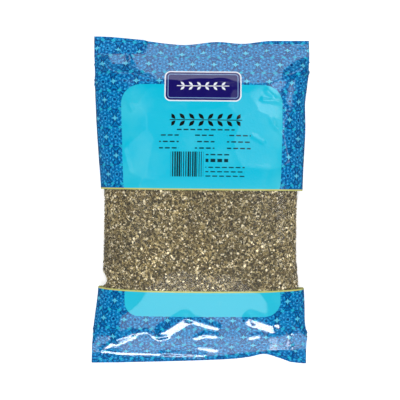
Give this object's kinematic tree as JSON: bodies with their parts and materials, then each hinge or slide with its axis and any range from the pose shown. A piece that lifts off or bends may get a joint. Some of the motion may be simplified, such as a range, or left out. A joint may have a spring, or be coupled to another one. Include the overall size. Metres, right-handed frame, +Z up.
{
  "type": "pouch of dried parsley",
  "caption": "Printed clear-film pillow pouch, welded flat at both ends and lapped down its back, filled with cut dried parsley that shows through a wide window.",
  "frame": {"origin": "middle of the outline seen from above, on the surface that the pouch lies on", "axes": "+X to the pouch's right seen from its printed front, +Y towards its top end, +Z up out of the printed front"},
  "size_m": [0.217, 0.3264, 0.0525],
  "materials": {
    "printed_film": "glossy clear film with a blue and cyan print",
    "dried_parsley": "rough, dry, olive-brown leaf and pale stem bits"
  },
  "bodies": {
    "root": {"film_pouch": "printed_film", "parsley_fill": "dried_parsley"}
  },
  "joints": []
}
